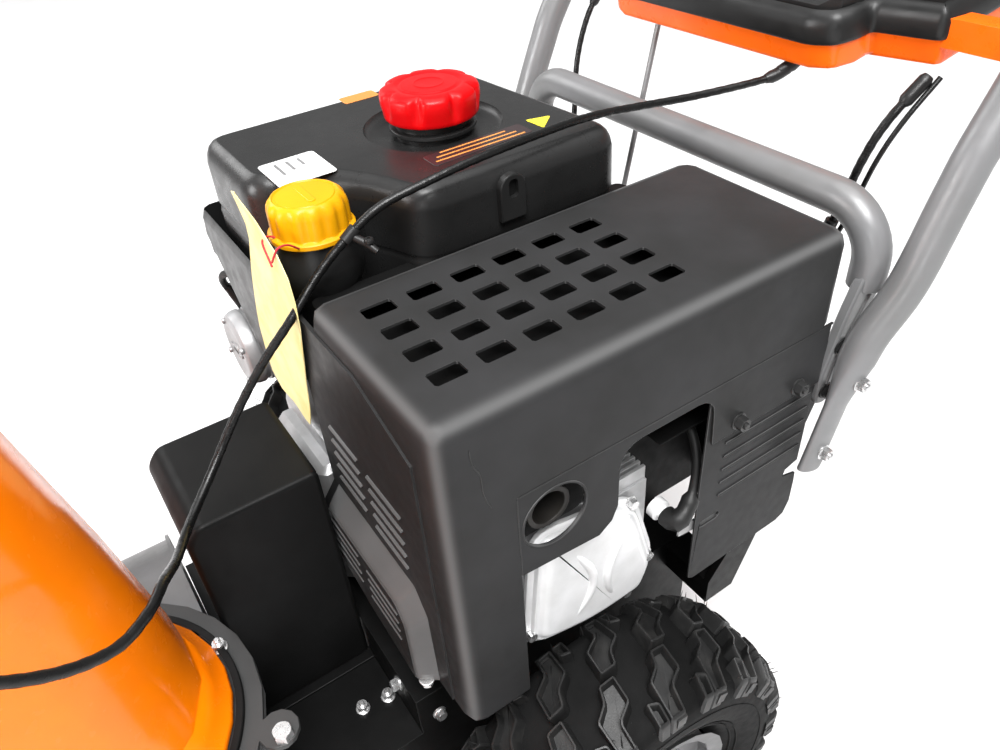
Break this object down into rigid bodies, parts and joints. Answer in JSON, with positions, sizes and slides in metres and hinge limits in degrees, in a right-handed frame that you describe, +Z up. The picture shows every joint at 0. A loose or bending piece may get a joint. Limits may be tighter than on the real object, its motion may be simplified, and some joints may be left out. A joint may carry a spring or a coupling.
{
  "type": "two stage snowblower",
  "caption": "Walk-behind petrol snowblower with an auger bucket, impeller, turning chute, driven wheels, engine under a vented cover, and a console between two handles.",
  "frame": {"origin": "middle of the bounding box at ground level, where the tyres and skid shoes stand", "axes": "+Z up, -Y towards the auger bucket, +Y towards the handles, +X the left side for the person behind the handles seen from the front, where the vented engine cover is"},
  "size_m": [0.636, 1.4898, 0.9995],
  "materials": {
    "black_plastic": "moulded, satin",
    "cast_aluminium": "as cast, satin",
    "charcoal": "satin charcoal enamel",
    "dark_steel": "dark coated, satin",
    "grey_paint": "silver grey enamel, satin",
    "orange": "gloss orange enamel",
    "red_plastic": "moulded, gloss",
    "rubber": "black, matt",
    "silver_paint": "grey enamel, satin",
    "steel": "zinc plated, satin",
    "tyre": "black, matt",
    "yellow_plastic": "moulded, gloss"
  },
  "bodies": {
    "root": {"auger_belt": "rubber", "auger_cable": "black_plastic", "auger_gearbox": "cast_aluminium", "auger_housing": "orange", "belt_cover": "black_plastic", "blower_housing": "black_plastic", "carburetor_box": "black_plastic", "chute_cable": "black_plastic", "chute_ring": "silver_paint", "console_cover": "black_plastic", "console_tray": "orange", "crankcase": "cast_aluminium", "cross_tube": "grey_paint", "cylinder_head": "cast_aluminium", "electric_starter": "cast_aluminium", "engine_cover": "charcoal", "fuel_tank": "black_plastic", "grip_left": "rubber", "grip_right": "rubber", "handle_left": "grey_paint", "handle_right": "grey_paint", "impeller_housing": "silver_paint", "muffler": "dark_steel", "oil_neck": "black_plastic", "rear_plate": "charcoal", "rocker_cover": "cast_aluminium", "scraper_bar": "dark_steel", "side_plate": "charcoal", "skid_shoe_left": "dark_steel", "skid_shoe_right": "dark_steel", "tank_tray": "black_plastic", "traction_belt": "rubber", "traction_cable": "black_plastic", "tractor_frame": "charcoal"},
    "axle": {"axle_shaft": "steel", "rim_left": "silver_paint", "rim_right": "silver_paint", "tyre_left": "tyre", "tyre_right": "tyre"},
    "hex": {"hex_shaft": "steel"},
    "slider": {"friction_wheel": "rubber"},
    "disc": {"friction_disc": "steel"},
    "crank": {"crankshaft": "steel"},
    "impeller": {"impeller": "orange", "auger_pulley": "steel"},
    "auger": {"auger_shaft": "steel", "auger_left": "orange", "auger_right": "orange"},
    "chute": {"chute": "orange"},
    "deflector": {"chute_deflector": "orange"},
    "shift_hand": {"shift_lever": "dark_steel"},
    "deflector_hand": {"deflector_lever": "dark_steel"},
    "shift_link": {"shift_rod": "steel"},
    "traction_hand": {"traction_lever": "black_plastic"},
    "auger_hand": {"auger_lever": "black_plastic"},
    "fuel_lid": {"fuel_cap": "red_plastic"},
    "oil_lid": {"oil_cap": "yellow_plastic"},
    "choke": {"choke_knob": "black_plastic"},
    "primer": {"primer_bulb": "rubber"},
    "recoil": {"recoil_handle": "black_plastic"}
  },
  "joints": [
    {"name": "wheel_spin", "type": "hinge", "parent": "root", "child": "axle", "pos_m": [0, -0.028, 0.162], "axis": [1, 0, 0], "continuous": true},
    {"name": "hex_spin", "type": "hinge", "parent": "root", "child": "hex", "pos_m": [0, -0.1016, 0.222], "axis": [1, 0, 0], "continuous": true},
    {"name": "friction_shift", "type": "slide", "parent": "hex", "child": "slider", "axis": [1, 0, 0], "range_m": [-0.038, 0.038]},
    {"name": "disc_spin", "type": "hinge", "parent": "root", "child": "disc", "pos_m": [0, -0.15, 0.222], "axis": [0, 1, 0], "continuous": true},
    {"name": "crank_spin", "type": "hinge", "parent": "root", "child": "crank", "pos_m": [0, -0.15, 0.356], "axis": [0, 1, 0], "continuous": true},
    {"name": "impeller_spin", "type": "hinge", "parent": "root", "child": "impeller", "pos_m": [0, -0.3, 0.211], "axis": [0, 1, 0], "continuous": true},
    {"name": "auger_spin", "type": "hinge", "parent": "root", "child": "auger", "pos_m": [0, -0.618, 0.142], "axis": [1, 0, 0], "continuous": true},
    {"name": "chute_turn", "type": "hinge", "parent": "root", "child": "chute", "pos_m": [0.099, -0.371, 0.36], "axis": [0, 0, 1], "range_deg": [-95, 95]},
    {"name": "deflector_tilt", "type": "hinge", "parent": "chute", "child": "deflector", "pos_m": [0.099, -0.427, 0.752], "axis": [1, 0, 0], "range_deg": [0, 50]},
    {"name": "shift_select", "type": "hinge", "parent": "root", "child": "shift_hand", "pos_m": [-0.048, 0.372, 0.747], "axis": [1, 0, 0], "range_deg": [-20, 20]},
    {"name": "deflector_select", "type": "hinge", "parent": "root", "child": "deflector_hand", "pos_m": [0.06, 0.372, 0.747], "axis": [1, 0, 0], "range_deg": [-4, 26]},
    {"name": "shift_rod_move", "type": "slide", "parent": "root", "child": "shift_link", "axis": [-0.07, 0.296, 0.9526], "range_m": [-0.006, 0.006]},
    {"name": "traction_squeeze", "type": "hinge", "parent": "root", "child": "traction_hand", "pos_m": [0.236, 0.56, 0.928], "axis": [-1, 0, 0], "range_deg": [0, 7], "stiffness_Nm_per_rad": 3, "springref_deg": -17.19},
    {"name": "auger_squeeze", "type": "hinge", "parent": "root", "child": "auger_hand", "pos_m": [-0.236, 0.56, 0.928], "axis": [-1, 0, 0], "range_deg": [0, 7], "stiffness_Nm_per_rad": 3, "springref_deg": -17.19},
    {"name": "fuel_cap_lift", "type": "slide", "parent": "root", "child": "fuel_lid", "axis": [0, 0, 1], "range_m": [0, 0.06]},
    {"name": "dipstick_lift", "type": "slide", "parent": "root", "child": "oil_lid", "axis": [0, 0, 1], "range_m": [0, 0.16]},
    {"name": "choke_turn", "type": "hinge", "parent": "root", "child": "choke", "pos_m": [-0.06, 0.142, 0.492], "axis": [0, 1, 0], "range_deg": [0, 90]},
    {"name": "primer_press", "type": "slide", "parent": "root", "child": "primer", "axis": [0, -1, 0], "range_m": [0, 0.004], "stiffness_N_per_m": 400, "springref_m": -0.004},
    {"name": "recoil_pull", "type": "slide", "parent": "root", "child": "recoil", "axis": [0, 1, 0], "range_m": [0, 0.08], "stiffness_N_per_m": 80, "springref_m": -0.06}
  ],
  "couplings": [
    {"joint": "hex_spin", "follows": "wheel_spin", "ratio": -2.8},
    {"joint": "crank_spin", "follows": "impeller_spin", "ratio": 2.3},
    {"joint": "disc_spin", "follows": "impeller_spin", "ratio": 1.15},
    {"joint": "auger_spin", "follows": "impeller_spin", "ratio": 0.1},
    {"joint": "friction_shift", "follows": "shift_select", "m_per_rad": 0.1},
    {"joint": "shift_rod_move", "follows": "shift_select", "m_per_rad": -0.017},
    {"joint": "deflector_select", "follows": "deflector_tilt", "ratio": 0.5}
  ]
}
